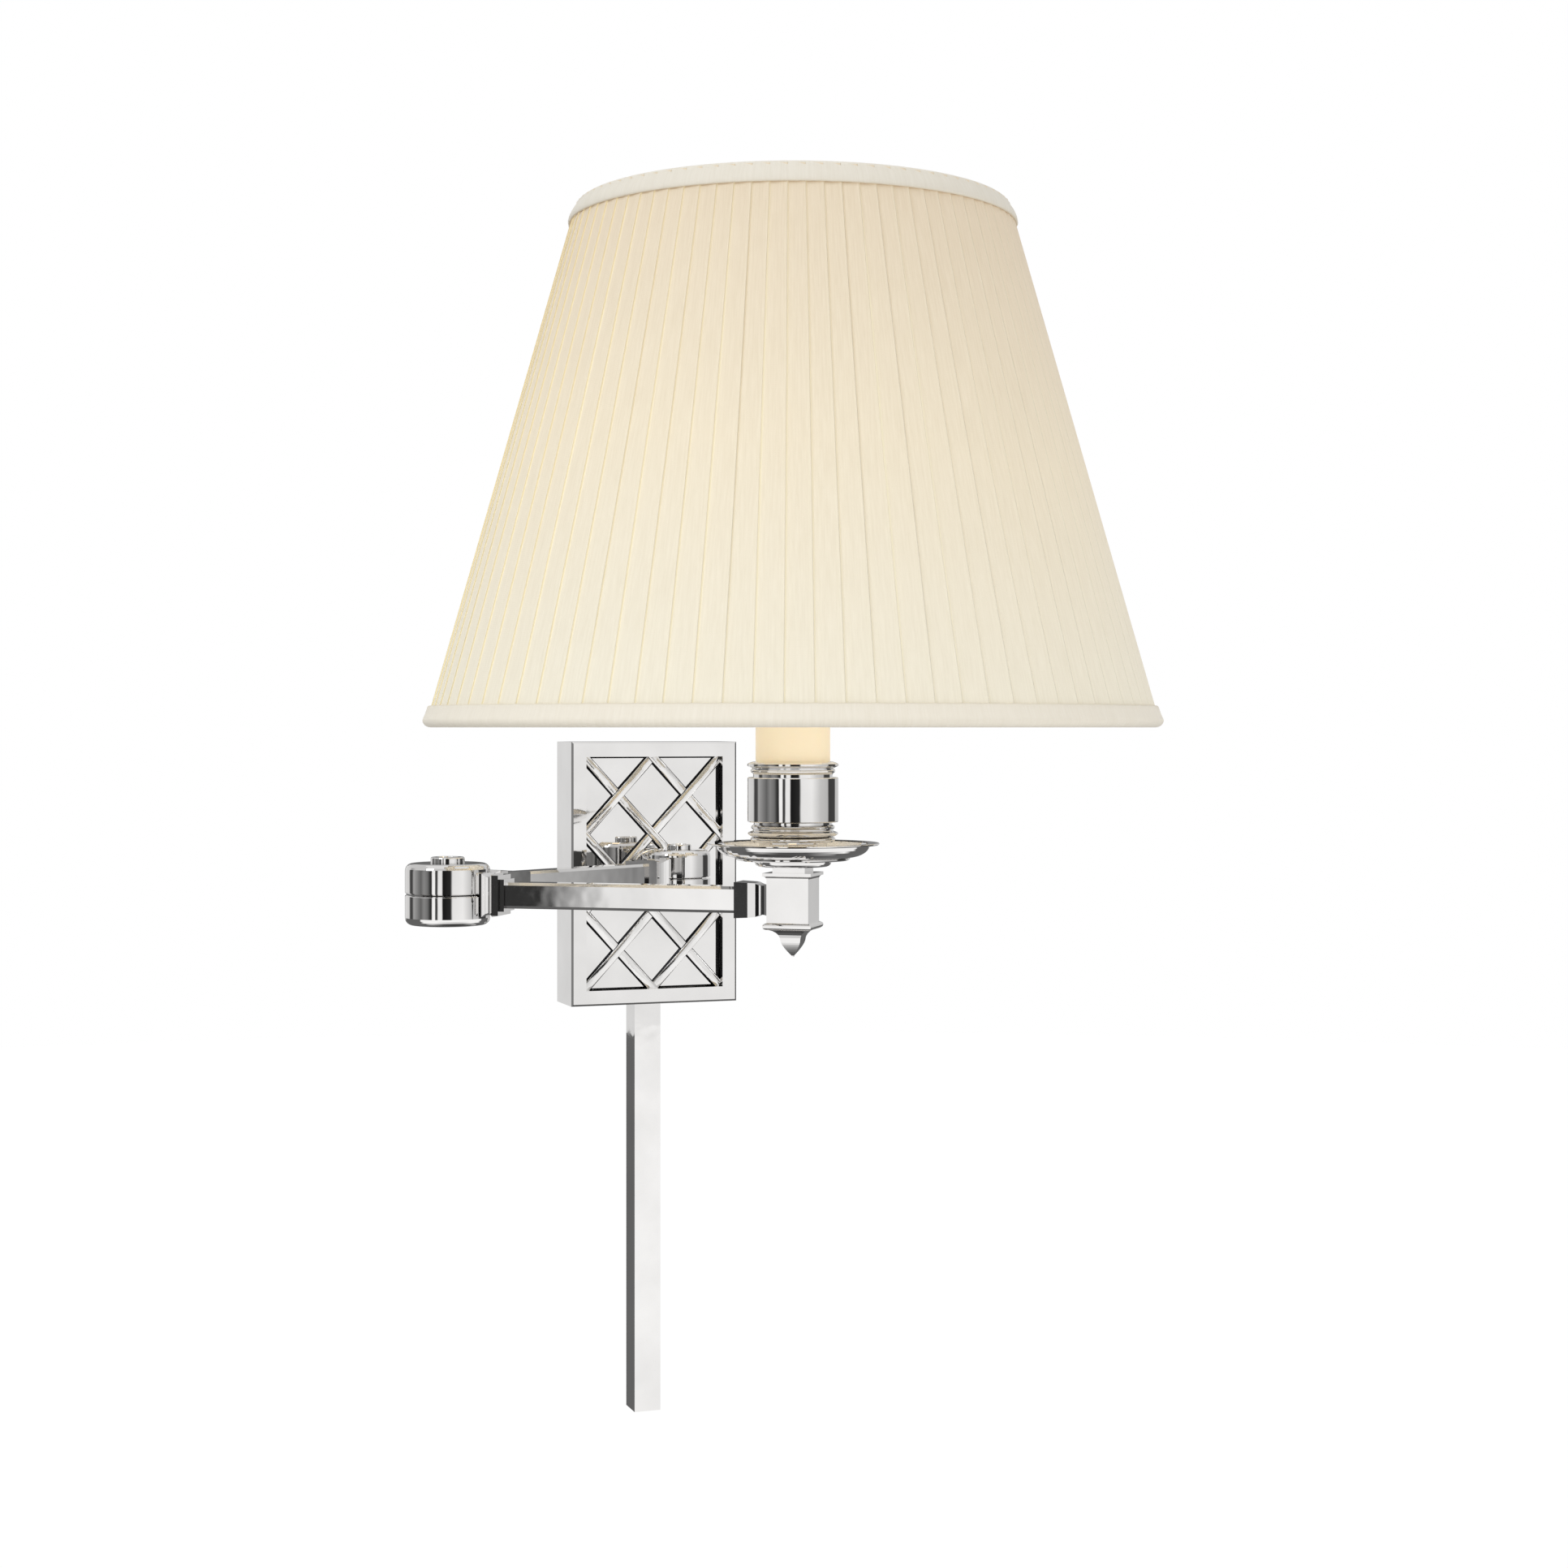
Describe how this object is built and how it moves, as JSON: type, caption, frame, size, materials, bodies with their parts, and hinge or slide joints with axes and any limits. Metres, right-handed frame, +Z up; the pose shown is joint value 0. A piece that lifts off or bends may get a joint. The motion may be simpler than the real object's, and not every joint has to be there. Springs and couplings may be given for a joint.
{
  "type": "swing arm wall sconce",
  "caption": "Polished nickel wall light with two hinged arms, a latticed back plate, a candle cup on a drip pan, a pleated cone shade and a square cord cover.",
  "frame": {"origin": "centre of the mounting crossbar's back face on the wall, level with the arms", "axes": "+Y into the wall, -Y out into the room, +Z up"},
  "size_m": [0.3296, 0.4223, 0.6025],
  "materials": {
    "nickel": "polished nickel plate on brass",
    "steel": "zinc plated",
    "brass": "raw, machined",
    "green_screw": "green passivated",
    "shade_fabric": "pleated ivory silk, matt",
    "shade_lining": "smooth white lining",
    "shade_band": "rolled ivory cloth band",
    "candle_plastic": "cream, satin",
    "white_plastic": "satin",
    "black_plastic": "moulded phenolic",
    "liner_card": "pressed fibre card",
    "wire_pvc": "smooth wire insulation",
    "bulb_glass": "frosted, warm"
  },
  "bodies": {
    "wall_mount": {"mounting_crossbar": "steel", "plate_screws": "nickel", "ground_screw": "green_screw", "back_plate": "nickel", "lattice_panel": "nickel", "neck_nipple": "brass", "neck_nut": "brass", "wall_knuckle": "nickel", "wall_pivot_tube": "brass", "wall_pivot_washer": "white_plastic", "wall_pivot_cap": "nickel", "wire_connectors": "black_plastic", "plate_wires": "wire_pvc", "cord_cover": "nickel", "cord_cover_clips": "steel"},
    "rear_arm": {"rear_arm_knuckle": "nickel", "rear_arm_bar": "nickel", "rear_arm_elbow": "nickel", "elbow_pivot_tube": "brass", "elbow_pivot_washer": "white_plastic", "elbow_pivot_cap": "nickel", "rear_arm_wires": "wire_pvc"},
    "front_arm": {"front_arm_knuckle": "nickel", "front_arm_bar": "nickel", "front_arm_collar": "nickel", "lamp_block": "nickel", "block_cap": "nickel", "finial": "nickel", "pan_boss": "nickel", "pan_ring": "nickel", "drip_pan": "nickel", "candle_cup": "nickel", "cup_nut": "brass", "centre_nipple": "brass", "candle_sleeve": "candle_plastic", "socket_cap": "brass", "socket_shell": "brass", "socket_liner": "liner_card", "socket_core": "black_plastic", "socket_screw_shell": "brass", "centre_contact": "brass", "lamp_wires": "wire_pvc", "bulb_base": "steel", "bulb_glass": "bulb_glass", "shade_fitter": "steel", "shade_clamp_ring": "white_plastic", "shade_frame": "steel", "shade_liner": "shade_lining", "shade_cover": "shade_fabric", "shade_trim_bottom": "shade_band", "shade_trim_top": "shade_band"},
    "turn_knob": {"switch_stem": "brass", "switch_knob": "black_plastic"}
  },
  "joints": [
    {"name": "wall_pivot", "type": "hinge", "parent": "wall_mount", "child": "rear_arm", "pos_m": [0, -0.072, 0], "axis": [0, 0, 1], "range_deg": [-22, 138]},
    {"name": "elbow_pivot", "type": "hinge", "parent": "rear_arm", "child": "front_arm", "pos_m": [-0.14147, -0.16074, 0], "axis": [0, 0, 1], "range_deg": [-240, 19]},
    {"name": "switch_turn", "type": "hinge", "parent": "front_arm", "child": "turn_knob", "pos_m": [0.01096, -0.26907, 0.1193], "axis": [0.8151, -0.5793, 0], "continuous": true}
  ]
}
